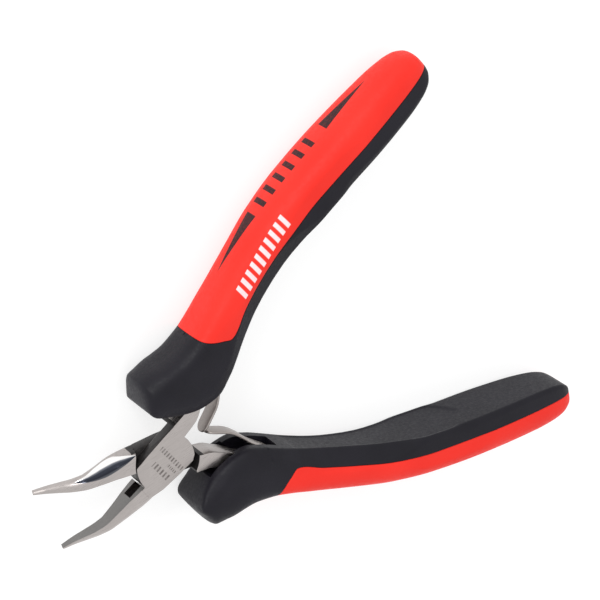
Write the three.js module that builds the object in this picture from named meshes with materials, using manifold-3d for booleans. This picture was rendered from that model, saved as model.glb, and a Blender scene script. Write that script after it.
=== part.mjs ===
// Bent needle nose electronics pliers with a lap joint, two leaf springs and two-part grips.
// Millimetres. Each lever is laid out closed: pivot axis on Z at the origin, handle towards +X
// on the +Y side, jaw towards -X on the -Y side. Lever b is lever a mirrored in Y, apart from
// the joint half. The two levers are then turned apart to the open rest position.
import * as THREE from "three";
import { mergeVertices } from "three/addons/utils/BufferGeometryUtils.js";
import Module from "manifold-3d";

const wasm = await Module();
wasm.setup();

// ---- driving dimensions ----
const OPEN_ANGLE = 15.1; // each lever from closed, degrees
const GAP = 0.3; // between a moulding and the piece inside it
const SLIDE_GAP = 0.05; // running gap of the joint

const HEAD_HALF = 3.2; // half the joint's thickness
const PLATE_HALF_WIDTH = 4.65;
const NOSE_RADIUS = 7.45; // round end of a joint half, jaw side
const HEEL_RADIUS = 6.5; // round end of a joint half, handle side
const RECESS_RADIUS = 7.7; // cut in the full-thickness steel that takes the other half
const RIVET_RADIUS = 2.2;
const RIVET_HEAD_RADIUS = 2.9;
const RIVET_HEAD_DEPTH = 0.85;
const RIVET_FLUSH = 3.15; // the rivet's faces sit this far from the middle

const GRIP_FACE = 0.12; // each jaw face stays this far from the closing plane
const GRIP_EDGE = 0.25; // least width of a jaw's upper and lower faces
const THROAT = { from: -11.3, to: -7.6, half: 1.5, depth: 1.3 };

const SKIN = 1.6; // red overmould thickness
const REST_HALF = 7.8; // the palm swell's sides are flat at this half thickness
const TANG_HALF = 1.9; // half thickness of the steel inside the handle
const LEAF_HALF_WIDTH = 2.1;
const LEAF_THICKNESS = 0.6;

const ALL = 200; // longer than the whole tool, for cutting regions

// Each row is x, value: the jaw's axis in side view, its half height and its half width.
const JAW_AXIS = [[-6, 0], [-11, 0], [-15, 0.25], [-18, 0.3], [-20.5, -0.5], [-23.5, -2.3],
  [-26, -3.9], [-28.9, -5.4]];
const JAW_HALF_HEIGHT = [[-28.9, 0.75], [-24, 1.25], [-20.5, 1.65], [-17, 2], [-13, 2.45],
  [-9, 3], [-6, 3.18]];
const JAW_HALF_WIDTH = [[-28.9, 0.8], [-24, 1.75], [-21, 2.3], [-18, 2.9], [-15, 3.5],
  [-12.5, 4], [-10, 4.3], [-6, 4.45]];
// How round the flank is: 1 for an ellipse, less for a squarer section.
const JAW_ROUND = [[-28.9, 0.75], [-19, 0.75], [-12, 0.55], [-6, 0.48]];
const FLANK_LEAN = 0.1; // the flank is fuller towards the underside

// Joint half in plan: the neck's shoulder, the heel's arc and the step behind the jaw.
const SHOULDER = [7.5, 5.1];
const HEEL_REACH = 0.6;
const HEEL_FROM = 0.2;
const HEEL_TO = -0.62;
const BELLY = [[4.1, -4.6], [0, -4.45], [-5, -4], [-7.6, -3.3], [-8.4, -2.6],
  [-8.4, -GRIP_FACE]];

// Neck and tang: middle line and half width in plan.
const TANG_LINE = [[6.2, 3.15], [10, 3.45], [13, 4.7], [17, 7.4], [22, 10.6], [30, 13.9],
  [41, 17.5], [52, 20], [62, 21.3], [70, 21.6]];
const TANG_HALF_WIDTH = [[6.2, 1.95], [10, 1.8], [13, 1.6], [17, 1.9], [30, 2.1], [52, 1.9],
  [70, 1.3]];
const TANG_HALF_HEIGHT = [[6.2, HEAD_HALF], [12, HEAD_HALF], [16, 2.4], [20, TANG_HALF],
  [70, TANG_HALF]];

// Handle: inner face and back in plan, half thickness, and chamfer of the inner face's edges.
const NOSE_X = 4.5;
const END_X = 101;
const INNER = [[4.5, 12.5], [4.7, 11.9], [5.2, 11], [6.2, 9.6], [8, 7.7], [10, 6], [12, 4.8],
  [14.5, 3.8], [18, 3.2], [22, 4.3], [26, 6], [32, 8.6], [41.5, 11.9], [52, 14.5], [61.7, 15.7],
  [72, 16.1], [81, 16.2], [90, 16.4], [95, 16.8], [98, 17.5], [100, 18.9], [100.7, 20],
  [101, 21.2]];
const BACK = [[4.5, 13.9], [4.7, 14.4], [5.2, 15.4], [6.2, 17.1], [7.2, 18.4], [8, 18.9], [11, 18.5],
  [14.5, 17.6], [18, 17.1], [22, 17.3], [26, 18.1], [32, 20], [41.5, 23], [52, 25.5],
  [61.7, 26.7], [72, 27.2], [81, 27.3], [90, 27.2], [95, 26.8], [98, 26.1], [100, 24.8],
  [100.7, 23.9], [101, 22.6]];
const HALF_THICKNESS = [[4.5, 6.3], [4.7, 6.6], [5.2, 6.9], [6.2, 7.1], [8, 7.2], [12, 7.3],
  [18, 7.2], [26, 6.9], [35, 6.8], [43, 7], [52, 7.7], [61.7, 8.15], [72, 8.1], [81, 7.6],
  [90, 6.7], [95, 5.9], [98, 5.1], [100, 3.9], [100.7, 2.8], [101, 1.4]];
const CHAMFER = [[4.5, 0.3], [5.2, 1], [7, 2.6], [9.7, 3.1], [13, 2.7], [18, 2.6], [24, 2.6],
  [30, 3.5], [38, 4.5], [48, 4.1], [54.5, 3], [61, 1.1], [67, 1], [71, 1.6], [80, 1.1],
  [97, 0.7], [101, 0.2]];
const CHAMFER_HEIGHT_PART = 0.62;
const CHAMFER_CREST = 0.08; // the chamfer ends this share of its size below the widest part
const CHAMFER_MOST = { ofHalf: 0.65, ofDepth: 0.42 };
// Share of the depth where the sides turn into the back, and how boxy that turn is.
const TURN_AT = [[4.5, 0.45], [9, 0.5], [14, 0.62], [25, 0.62], [36, 0.5], [46, 0.45]];
const TURN_POWER = [[4.5, 0.8], [9, 0.75], [14, 0.62], [25, 0.62], [40, 0.8]];
const THINNEST = { depth: 0.5, half: 0.3 }; // of the inner solid near the handle's ends

// Edge of the red skin in plan: along the side, then round the front.
const SKIN_EDGE = [[28.6, 11.5], [35, 13.9], [42.7, 16.4], [52, 18.7], [62.9, 20.1], [82, 20.5],
  [98.4, 20.7], [104, 20.8]];
const SKIN_FRONT = [[22.2, 21], [22.6, 18.4], [23.4, 16.3], [24.8, 14.5], [26.6, 12.9]];

// Leaf spring: middle line from its root in the handle to the tip, in the open tool.
const LEAF_LINE = [[21, 11.9], [18.8, 8.9], [17.4, 6.1], [15.7, 3.8], [13.7, 2.25]];
const LEAF_A_END = [[11.5, 0.7], [10.3, -0.15]];
const LEAF_B_END = [[12.3, 1.3], [11.12, 0.56]];
const LEAF_ROOT_DEPTH = 2.2;
// Pocket in the inner face that takes the leaf's root and lets the leaf lie back when closed.
const POCKET = [[14, 1], [14, 4.6], [17.5, 5.6], [21, 7.2], [22.5, 9.2], [26.2, 9.2],
  [26.2, 1]];
const POCKET_HALF = 2.9;
// Open space in the guard round the neck, so the steel doesn't touch the moulding.
const NECK_POCKET = [[2, 0.5], [14.5, 2], [18.5, 7.5], [12, 8.2], [7.5, 6.6], [2, 6]];
const NECK_POCKET_HALF = HEAD_HALF + 0.7;

// Mesh fineness.
const BACK_POINTS = 12;
const FLANK_POINTS = 10;
const JAW_RINGS = 22;
const TANG_RINGS = 22;
const LEAF_STEPS = 20;
const SKIN_STEPS = 16;
const RIVET_SEGMENTS = 48;
const ROUND_SEGMENTS = 64;
const CURVE_SEGMENTS = 24;
const SLOPE_STEP = 0.1;
const HANDLE_X = [NOSE_X, 4.7, 5.1, 5.7, 6.6, 8, 10, 12.5, 15, 17.5, 20, 22.5, 25.5, 29, 33,
  37.5, 42, 47, 52, 57, 62, 67, 72, 77, 82, 86.5, 90.5, 93.5, 96, 98, 99.3, 100.2, 100.7,
  END_X];

// ---- helpers ----
// Smooth y(x) through the rows, with no overshoot between them.
function smooth(rows) {
  const slope = (i) => (rows[i + 1][1] - rows[i][1]) / (rows[i + 1][0] - rows[i][0]);
  const last = rows.length - 1;
  const tangent = rows.map((row, i) => {
    if (i === 0) return slope(0);
    if (i === last) return slope(last - 1);
    const a = slope(i - 1);
    const b = slope(i);
    return a * b <= 0 ? 0 : (2 * a * b) / (a + b);
  });
  return (x) => {
    if (x <= rows[0][0]) return rows[0][1];
    if (x >= rows[last][0]) return rows[last][1];
    const i = rows.findIndex((row, k) => x >= row[0] && x <= rows[k + 1][0]);
    const h = rows[i + 1][0] - rows[i][0];
    const t = (x - rows[i][0]) / h;
    const rise = rows[i + 1][1] - rows[i][1];
    const c2 = 3 * rise - h * (2 * tangent[i] + tangent[i + 1]);
    const c3 = h * (tangent[i] + tangent[i + 1]) - 2 * rise;
    return rows[i][1] + t * (h * tangent[i] + t * (c2 + t * c3));
  };
}

function steps(from, to, count) {
  return Array.from({ length: count + 1 }, (_, i) => from + ((to - from) * i) / count);
}

// A solid from rings of points, each ring with the same count, closed at both ends.
function loft(rings) {
  const n = rings[0].length;
  const positions = rings.flat(2);
  const index = [];
  rings.slice(1).forEach((_, r) => {
    for (let i = 0; i < n; i++) {
      const j = (i + 1) % n;
      const a = r * n + i;
      const b = r * n + j;
      index.push(a, b, b + n, a, b + n, a + n);
    }
  });
  const end = (rings.length - 1) * n;
  for (let i = 1; i < n - 1; i++) {
    index.push(0, i + 1, i);
    index.push(end, end + i, end + i + 1);
  }
  const geometry = new THREE.BufferGeometry();
  geometry.setAttribute("position", new THREE.Float32BufferAttribute(positions, 3));
  geometry.setIndex(index);
  return solid(geometry);
}

// A closed three.js geometry as a solid, turned the right way out.
function solid(geometry) {
  const bare = geometry.clone();
  bare.deleteAttribute("normal");
  bare.deleteAttribute("uv");
  const merged = mergeVertices(bare, 1e-4);
  const vertProperties = new Float32Array(merged.attributes.position.array);
  const triVerts = new Uint32Array(merged.index.array);
  const made = new wasm.Manifold(new wasm.Mesh({ numProp: 3, vertProperties, triVerts }));
  if (made.volume() > 0) return made;
  for (let i = 0; i < triVerts.length; i += 3) {
    [triVerts[i + 1], triVerts[i + 2]] = [triVerts[i + 2], triVerts[i + 1]];
  }
  return new wasm.Manifold(new wasm.Mesh({ numProp: 3, vertProperties, triVerts }));
}

// A flat shape in plan, raised between two heights.
function prism(shape, low, high) {
  const settings = { depth: high - low, bevelEnabled: false, curveSegments: CURVE_SEGMENTS };
  const geometry = new THREE.ExtrudeGeometry(shape, settings);
  geometry.translate(0, 0, low);
  return solid(geometry);
}

function polygon(points) {
  return new THREE.Shape(points.map(([x, y]) => new THREE.Vector2(x, y)));
}

function cylinder(radius, low, high) {
  const geometry = new THREE.CylinderGeometry(radius, radius, high - low, ROUND_SEGMENTS);
  geometry.rotateX(Math.PI / 2);
  geometry.translate(0, 0, (low + high) / 2);
  return solid(geometry);
}

function box(x0, x1, y0, y1, z0, z1) {
  const geometry = new THREE.BoxGeometry(x1 - x0, y1 - y0, z1 - z0);
  geometry.translate((x0 + x1) / 2, (y0 + y1) / 2, (z0 + z1) / 2);
  return solid(geometry);
}

// A plan outline of even half width on both sides of a middle line.
function ribbon(line, halfWidth) {
  const left = [];
  const right = [];
  line.forEach(([x, y], i) => {
    const before = line[Math.max(i - 1, 0)];
    const after = line[Math.min(i + 1, line.length - 1)];
    const length = Math.hypot(after[0] - before[0], after[1] - before[1]);
    const nx = (-(after[1] - before[1]) / length) * halfWidth(x);
    const ny = ((after[0] - before[0]) / length) * halfWidth(x);
    left.push([x + nx, y + ny]);
    right.unshift([x - nx, y - ny]);
  });
  return [...left, ...right];
}

// ---- handle moulding ----
const innerFace = smooth(INNER);
const backFace = smooth(BACK);
const halfThickness = smooth(HALF_THICKNESS);
const chamfer = smooth(CHAMFER);
const turnAt = smooth(TURN_AT);
const turnPower = smooth(TURN_POWER);

// One cross-section: flat inner face, chamfered corners and a rounded back. Inset shrinks it.
function handleRing(x, inset) {
  const centre = (innerFace(x) + backFace(x)) / 2;
  const deep = Math.max((backFace(x) - innerFace(x)) / 2 - inset, THINNEST.depth - inset / 5);
  const low = centre - deep;
  const high = centre + deep;
  const half = Math.max(halfThickness(x) - inset, THINNEST.half);
  const most = Math.min(half * CHAMFER_MOST.ofHalf, (high - low) * CHAMFER_MOST.ofDepth);
  const cut = Math.min(chamfer(x), most);
  const flat = half - CHAMFER_HEIGHT_PART * cut;
  const crest = half - CHAMFER_CREST * cut;
  const middle = low + turnAt(x) * (high - low);
  const power = turnPower(x);
  const ring = [[x, low, -flat], [x, low + cut, -crest]];
  for (let i = 0; i <= BACK_POINTS; i++) {
    const t = -Math.PI / 2 + (Math.PI * i) / BACK_POINTS;
    const y = middle + (high - middle) * Math.abs(Math.cos(t)) ** power;
    const z = half * Math.sign(Math.sin(t)) * Math.abs(Math.sin(t)) ** power;
    ring.push([x, y, z]);
  }
  ring.push([x, low + cut, crest], [x, low, flat]);
  return ring;
}

function handleSolid(inset) {
  const first = NOSE_X + inset;
  const last = END_X - inset;
  const span = (x) => first + ((x - NOSE_X) / (END_X - NOSE_X)) * (last - first);
  return loft(HANDLE_X.map((x) => handleRing(x, inset).map(([, y, z]) => [span(x), y, z])));
}

// The red skin's plan region, grown outwards by a margin.
function skinRegion(margin) {
  const edge = smooth(SKIN_EDGE);
  const from = SKIN_EDGE[0][0];
  const to = SKIN_EDGE[SKIN_EDGE.length - 1][0];
  const side = steps(from, to, SKIN_STEPS).map((x) => [x, edge(x) - margin]);
  const front = SKIN_FRONT.map(([x, y]) => [x - margin, y - margin / 2]);
  const behind = [[to, ALL], [SKIN_FRONT[0][0] - margin, ALL]];
  return prism(polygon([...behind, ...front, ...side]), -ALL, ALL);
}

const leafRoot = new THREE.Vector2(...LEAF_LINE[0]);

function mouldings() {
  const outer = handleSolid(0).intersect(box(-ALL, ALL, -ALL, ALL, -REST_HALF, REST_HALF));
  const skin = outer.intersect(skinRegion(0)).subtract(handleSolid(SKIN));
  let core = outer.subtract(skinRegion(GAP)).add(handleSolid(SKIN + GAP));
  core = core.subtract(tang(GAP));
  core = core.subtract(prism(polygon(NECK_POCKET), -NECK_POCKET_HALF, NECK_POCKET_HALF));
  core = core.subtract(prism(polygon(POCKET), -POCKET_HALF, POCKET_HALF));
  return { skin, core };
}

// ---- steel ----
function tang(margin) {
  const line = smooth(TANG_LINE);
  const width = smooth(TANG_HALF_WIDTH);
  const height = smooth(TANG_HALF_HEIGHT);
  const lastX = TANG_LINE[TANG_LINE.length - 1][0];
  const rings = steps(TANG_LINE[0][0], lastX, TANG_RINGS).map((x, i, all) => {
    const slope = (line(x + SLOPE_STEP) - line(x - SLOPE_STEP)) / (2 * SLOPE_STEP);
    const half = (width(x) + margin) * Math.hypot(1, slope);
    const tall = height(x) + margin;
    const along = i === all.length - 1 ? x + margin : x;
    return [[along, line(x) - half, -tall], [along, line(x) + half, -tall],
      [along, line(x) + half, tall], [along, line(x) - half, tall]];
  });
  return loft(rings);
}

// Half-round section: flat face on the closing plane, rounded flank on the outside.
function jaw() {
  const axis = smooth([...JAW_AXIS].reverse());
  const height = smooth(JAW_HALF_HEIGHT);
  const width = smooth(JAW_HALF_WIDTH);
  const round = smooth(JAW_ROUND);
  const tip = JAW_AXIS[JAW_AXIS.length - 1][0];
  const rings = steps(JAW_AXIS[0][0], tip, JAW_RINGS).map((x) => {
    const slope = (axis(x + SLOPE_STEP) - axis(x - SLOPE_STEP)) / (2 * SLOPE_STEP);
    const length = Math.hypot(1, slope);
    const power = round(x);
    const ring = [];
    for (let i = 0; i <= FLANK_POINTS; i++) {
      const t = -Math.PI / 2 + (Math.PI * i) / FLANK_POINTS;
      const lean = 1 - FLANK_LEAN * Math.sin(t);
      const out = width(x) * Math.abs(Math.cos(t)) ** power * lean;
      const up = height(x) * Math.sign(Math.sin(t)) * Math.abs(Math.sin(t)) ** power;
      const reach = Math.max(out, GRIP_FACE + GRIP_EDGE);
      ring.push([x - (up * slope) / length, -reach, axis(x) + up / length]);
    }
    const top = ring[FLANK_POINTS];
    const bottom = ring[0];
    ring.push([top[0], -GRIP_FACE, top[2]], [bottom[0], -GRIP_FACE, bottom[2]]);
    return ring;
  });
  const relief = box(THROAT.from, THROAT.to, -THROAT.depth, 1, -THROAT.half, THROAT.half);
  return loft(rings).subtract(relief);
}

// Joint half in plan: a plate with a round nose and a round heel.
function plateShape() {
  const noseAngle = Math.asin(PLATE_HALF_WIDTH / NOSE_RADIUS);
  const heelX = HEEL_RADIUS * Math.cos(HEEL_FROM) + HEEL_REACH;
  const shape = new THREE.Shape();
  shape.moveTo(-NOSE_RADIUS * Math.cos(noseAngle), PLATE_HALF_WIDTH);
  shape.lineTo(...SHOULDER);
  shape.lineTo(heelX, HEEL_RADIUS * Math.sin(HEEL_FROM));
  shape.absarc(0, 0, HEEL_RADIUS, HEEL_FROM, HEEL_TO, true);
  for (const corner of BELLY) shape.lineTo(...corner);
  shape.lineTo(-NOSE_RADIUS, -GRIP_FACE);
  shape.absarc(0, 0, NOSE_RADIUS, Math.PI, Math.PI - noseAngle, true);
  return shape;
}

// Rivet with countersunk heads; a margin above 0 gives the hole cut for it.
function rivetSolid(margin) {
  const neck = RIVET_FLUSH - RIVET_HEAD_DEPTH;
  const head = RIVET_HEAD_RADIUS + margin;
  const shank = RIVET_RADIUS + margin;
  const end = margin > 0 ? RIVET_FLUSH + 1 : RIVET_FLUSH;
  const mouth = (z) => (margin > 0 ? [[head, z]] : []);
  const profile = [[0, -end], [head, -end], ...mouth(-RIVET_FLUSH), [shank, -neck],
    [shank, neck], ...mouth(RIVET_FLUSH), [head, end], [0, end]];
  const points = profile.map(([r, z]) => new THREE.Vector2(r, z));
  const geometry = new THREE.LatheGeometry(points, RIVET_SEGMENTS);
  geometry.rotateX(Math.PI / 2);
  return solid(geometry);
}

// The whole steel lever; side 1 keeps the upper half of the joint, side -1 the lower.
function steelLever(side) {
  const upper = side > 0;
  const recess = upper
    ? cylinder(RECESS_RADIUS, -ALL, SLIDE_GAP)
    : cylinder(RECESS_RADIUS, -SLIDE_GAP, ALL);
  const plate = upper
    ? prism(plateShape(), SLIDE_GAP, HEAD_HALF)
    : prism(plateShape(), -HEAD_HALF, -SLIDE_GAP);
  return jaw().add(tang(0)).subtract(recess).add(plate).subtract(rivetSolid(SLIDE_GAP));
}

// ---- leaf springs, in the lever's closed frame ----
function leaf(end) {
  const knots = [...LEAF_LINE, ...end].map(([x, y]) => new THREE.Vector3(x, y, 0));
  const bent = new THREE.CatmullRomCurve3(knots).getPoints(LEAF_STEPS);
  const next = new THREE.Vector2(...LEAF_LINE[1]);
  const start = new THREE.Vector2().subVectors(leafRoot, next).setLength(LEAF_ROOT_DEPTH);
  const root = [leafRoot.x + start.x, leafRoot.y + start.y];
  const points = [root, ...bent.map((p) => [p.x, p.y])];
  const outline = ribbon(points, () => LEAF_THICKNESS / 2);
  return prism(polygon(outline), -LEAF_HALF_WIDTH, LEAF_HALF_WIDTH).rotate([0, 0, -OPEN_ANGLE]);
}

// ---- assembly ----
const pliers = new THREE.Group();
pliers.name = "needle_nose_pliers";

function addPiece(name, piece, color, roughness, metalness) {
  const mesh = piece.getMesh();
  const geometry = new THREE.BufferGeometry();
  const positions = new Float32Array(mesh.numVert * 3);
  for (let i = 0; i < mesh.numVert; i++) {
    for (let k = 0; k < 3; k++) positions[3 * i + k] = mesh.vertProperties[mesh.numProp * i + k];
  }
  geometry.setAttribute("position", new THREE.BufferAttribute(positions, 3));
  geometry.setIndex(new THREE.BufferAttribute(new Uint32Array(mesh.triVerts), 1));
  geometry.computeVertexNormals();
  const material = new THREE.MeshStandardMaterial({ color, roughness, metalness });
  const made = new THREE.Mesh(geometry, material);
  made.name = name;
  pliers.add(made);
}

const STEEL = [0xb6aca8, 0.32, 0.95];
const BLACK = [0x2c2b31, 0.6, 0];
const RED = [0xf5352c, 0.55, 0];
const SPRING = [0x8f8580, 0.4, 0.9];

const { skin, core } = mouldings();
const sides = [
  { suffix: "a", side: 1, leafEnd: LEAF_A_END },
  { suffix: "b", side: -1, leafEnd: LEAF_B_END },
];
for (const { suffix, side, leafEnd } of sides) {
  const own = (piece) => (side > 0 ? piece : piece.mirror([0, 1, 0]));
  const place = (piece) => own(piece).rotate([0, 0, side * OPEN_ANGLE]);
  addPiece(`lever_${suffix}`, place(steelLever(side)), ...STEEL);
  addPiece(`handle_core_${suffix}`, place(core), ...BLACK);
  addPiece(`grip_skin_${suffix}`, place(skin), ...RED);
  addPiece(`leaf_spring_${suffix}`, place(leaf(leafEnd)), ...SPRING);
}
addPiece("pivot_rivet", rivetSolid(0), ...STEEL);

// The origin is the middle of the underside of the bounding box.
const bounds = new THREE.Box3().setFromObject(pliers);
const middle = bounds.getCenter(new THREE.Vector3());
pliers.position.set(-middle.x, -middle.y, -bounds.min.z);

export default pliers;
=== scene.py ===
"""Bent needle nose electronics pliers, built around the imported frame.

Lengths are millimetres in the closed lever's own frame until place() puts them in the shared frame:
pivot axis on z at the origin, handle towards +x on the +y side, jaw towards -x on the -y side.
"""

import math

import bmesh
import bpy
import numpy as np
from mathutils import Matrix, Vector
from mathutils.kdtree import KDTree


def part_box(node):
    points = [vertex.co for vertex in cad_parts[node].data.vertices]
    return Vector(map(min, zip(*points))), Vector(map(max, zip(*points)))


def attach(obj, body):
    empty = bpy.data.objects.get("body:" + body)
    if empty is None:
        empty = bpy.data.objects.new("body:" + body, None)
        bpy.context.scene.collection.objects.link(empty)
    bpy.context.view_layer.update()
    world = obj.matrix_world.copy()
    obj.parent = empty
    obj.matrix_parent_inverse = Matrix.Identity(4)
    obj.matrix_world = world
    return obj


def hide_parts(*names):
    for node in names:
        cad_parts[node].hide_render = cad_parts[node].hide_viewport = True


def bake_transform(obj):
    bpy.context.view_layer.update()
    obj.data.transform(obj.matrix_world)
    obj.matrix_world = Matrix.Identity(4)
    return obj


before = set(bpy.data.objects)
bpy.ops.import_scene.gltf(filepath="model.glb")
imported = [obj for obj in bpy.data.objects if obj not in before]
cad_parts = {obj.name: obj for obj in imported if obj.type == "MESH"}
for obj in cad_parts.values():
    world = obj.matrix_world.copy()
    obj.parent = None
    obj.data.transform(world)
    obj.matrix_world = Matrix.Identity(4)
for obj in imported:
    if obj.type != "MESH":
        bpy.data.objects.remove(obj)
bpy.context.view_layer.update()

rivet_low, rivet_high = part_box("pivot_rivet")
PIVOT = np.array((rivet_low + rivet_high) / 2)
MM = 0.001

# ---- dimensions shared with the CAD source ----
OPEN_ANGLE = 15.1
SLIDE_GAP = 0.05
HEAD_HALF = 3.2
PLATE_HALF_WIDTH = 4.65
NOSE_RADIUS = 7.45
HEEL_RADIUS = 6.5
RECESS_RADIUS = 7.7
GRIP_FACE = 0.12
THROAT = {"x": (-11.3, -7.6), "half": 1.5, "depth": 1.3, "corner": 0.5}
REST_HALF = 7.8
LEAF_HALF_WIDTH = 2.1
LEAF_THICKNESS = 0.6
NOSE_X = 4.5
END_X = 101
TANG_SHOWN_X = 30
SKIN_DEPTH = 0.9

# Rows of x and value. The jaw: its axis in side view, half height, half width and roundness.
JAW_AXIS = [[-28.9, -5.4], [-26, -3.9], [-23.5, -2.3], [-20.5, -0.5], [-18, 0.3], [-15, 0.25],
            [-11, 0], [-6, 0]]
JAW_HALF_HEIGHT = [[-28.9, 0.75], [-24, 1.25], [-20.5, 1.65], [-17, 2], [-13, 2.45], [-9, 3],
                   [-6, 3.18]]
JAW_HALF_WIDTH = [[-28.9, 0.8], [-24, 1.75], [-21, 2.3], [-18, 2.9], [-15, 3.5], [-12.5, 4],
                  [-10, 4.3], [-6, 4.45]]
JAW_ROUND = [[-28.9, 0.75], [-19, 0.75], [-12, 0.55], [-6, 0.48]]
FLANK_LEAN = 0.1
GRIP_EDGE = 0.25
# Joint half in plan: the neck's shoulder, the heel's arc and the step behind the jaw.
SHOULDER = (7.5, 5.1)
HEEL_REACH = 0.6
HEEL_ARC = (0.2, -0.62)
BELLY = [(4.1, -4.6), (0, -4.45), (-5, -4), (-7.6, -3.3), (-8.4, -2.6), (-8.4, -GRIP_FACE)]
# Neck and tang: middle line in plan, half width and half height.
TANG_LINE = [[6.2, 3.15], [10, 3.45], [13, 4.7], [17, 7.4], [22, 10.6], [30, 13.9], [41, 17.5]]
TANG_HALF_WIDTH = [[6.2, 1.95], [10, 1.8], [13, 1.6], [17, 1.9], [30, 2.1], [52, 1.9]]
TANG_HALF_HEIGHT = [[6.2, 3.2], [12, 3.2], [16, 2.4], [20, 1.9], [70, 1.9]]
# Handle: inner face and back in plan, half thickness, and chamfer of the inner face's edges.
INNER = [[4.5, 12.5], [4.7, 11.9], [5.2, 11], [6.2, 9.6], [8, 7.7], [10, 6], [12, 4.8],
         [14.5, 3.8], [18, 3.2], [22, 4.3], [26, 6], [32, 8.6], [41.5, 11.9], [52, 14.5],
         [61.7, 15.7], [72, 16.1], [81, 16.2], [90, 16.4], [95, 16.8], [98, 17.5], [100, 18.9],
         [100.7, 20], [101, 21.2]]
BACK = [[4.5, 13.9], [4.7, 14.4], [5.2, 15.4], [6.2, 17.1], [7.2, 18.4], [8, 18.9], [11, 18.5],
        [14.5, 17.6], [18, 17.1], [22, 17.3], [26, 18.1], [32, 20], [41.5, 23], [52, 25.5],
        [61.7, 26.7], [72, 27.2], [81, 27.3], [90, 27.2], [95, 26.8], [98, 26.1], [100, 24.8],
        [100.7, 23.9], [101, 22.6]]
HALF_THICKNESS = [[4.5, 6.3], [4.7, 6.6], [5.2, 6.9], [6.2, 7.1], [8, 7.2], [12, 7.3], [18, 7.2],
                  [26, 6.9], [35, 6.8], [43, 7], [52, 7.7], [61.7, 8.15], [72, 8.1], [81, 7.6],
                  [90, 6.7], [95, 5.9], [98, 5.1], [100, 3.9], [100.7, 2.8], [101, 1.4]]
CHAMFER = [[4.5, 0.3], [5.2, 1], [7, 2.6], [9.7, 3.1], [13, 2.7], [18, 2.6], [24, 2.6], [30, 3.5],
           [38, 4.5], [48, 4.1], [54.5, 3], [61, 1.1], [67, 1], [71, 1.6], [80, 1.1], [97, 0.7],
           [101, 0.2]]
CHAMFER_HEIGHT_PART = 0.62
CHAMFER_CREST = 0.08
CHAMFER_MOST = {"of_half": 0.65, "of_depth": 0.42}
# Share of the depth where the sides turn into the back, and how boxy that turn is.
TURN_AT = [[4.5, 0.45], [9, 0.5], [14, 0.62], [25, 0.62], [36, 0.5], [46, 0.45]]
TURN_POWER = [[4.5, 0.8], [9, 0.75], [14, 0.62], [25, 0.62], [40, 0.8]]
# Edge of the red skin in plan: down its front, then along the side.
SKIN_EDGE = [[22.2, 21], [22.6, 18.4], [23.4, 16.3], [24.8, 14.5], [26.6, 12.9], [28.6, 11.5],
             [35, 13.9], [42.7, 16.4], [52, 18.7], [62.9, 20.1], [82, 20.5], [98.4, 20.7],
             [104, 20.8]]
# Leaf spring: middle line from its root in the handle to the tip, in the open tool.
LEAF_LINE = [[21, 11.9], [18.8, 8.9], [17.4, 6.1], [15.7, 3.8], [13.7, 2.25]]
LEAF_END = {"a": [[11.5, 0.7], [10.3, -0.15]], "b": [[12.3, 1.3], [11.12, 0.56]]}
LEAF_ROOT_DEPTH = 2.2
# Pocket in the inner face that takes the leaf's root, and open space in the guard for the neck.
POCKET = [[14, 1], [14, 4.6], [17.5, 5.6], [21, 7.2], [22.5, 9.2], [26.2, 9.2], [26.2, 1]]
POCKET_HALF = 2.9
POCKET_CORNER = 0.8
NECK_POCKET = [[2, 0.5], [14.5, 2], [18.5, 7.5], [12, 8.2], [7.5, 6.6], [2, 6]]
NECK_POCKET_HALF = 3.9
NECK_POCKET_CORNER = 0.6

# ---- details that only the visual model has ----
# Softness of the handle section's creases along x.
CREASE = [[4.5, 0.3], [6, 0.7], [14, 0.7], [24, 0.22]]
SEAM_ROLL = 0.22
SEAM_GAP = 0.06
SKIN_MOST = {"of_half": 0.45, "of_depth": 0.3}
# Sunk panel of the handle's inner face: x range, how its end slants, and the width of its walls.
PANEL_X = (29, 73.5)
PANEL_SLANT = 0.05
PANEL_SLANT_Z = -3
PANEL_WALL = {"start": 1.5, "end": 0.9, "side": 0.5}
PANEL_DEPTH = 0.22
PANEL_RIM = 0.35
# Bevel of the neck and the joint half.
EDGE = 0.12
# Round end of the leaf: where its rings start to crowd, and its least share of the width.
LEAF_TIP = 2.2
LEAF_TIP_LEAST = 0.08
LEAF_RINGS = (46, 20)
LEAF_STEP = 0.02
# Ends of the grip faces, the sliding faces and the joint's side walls, from the pivot.
GRIP_FACE_TO = -7.4
SLIDE_FROM = -9
WALL_FROM = -7.5
WALL_REACH = 8.8
# Hollow ground flank of the jaw: x range, and angle range round the flank for each side.
SCOOP_DEPTH = 0.13
SCOOP_X = (-21, -6.5)
SCOOP_ANGLES = {1: (-45, 30), -1: (-8, 72)}
# A place across the hollow is kept in the lay over this, and OFF_HOLLOW is well outside it.
HOLLOW_UNIT = 10
OFF_HOLLOW = 4
# Rows of short etched ticks on the joint: middle x, half height, y range, pitch.
ETCHED = [(1.1, 0.55, -3.9, 3.7, 0.82), (-0.5, 0.35, -3.3, -0.4, 0.55), (-2.5, 0.7, -3.2, 2.4, 1.0)]
# Print on each grip's back: x of wedge tip and base with the base's half width, then even bars.
WEDGES = [(37, 51.1, 1.95), (89.3, 75.4, 1.95)]
BLOCKS = [(53.6 + 3.3 * k, 54.9 + 3.3 * k) for k in range(6)]
BLOCK_HALF = 2.4
PRINT_LINE = -0.3
PRINT_SOFT = 0.0004
# White ticks on each grip's side: x range, range round the section, pitch.
TICKS = (36.1, 55.1, 6.9, 10.1)
TICK_PITCH = 1.9
# Lay coordinates are millimetres over this.
LAY = 100

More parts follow.
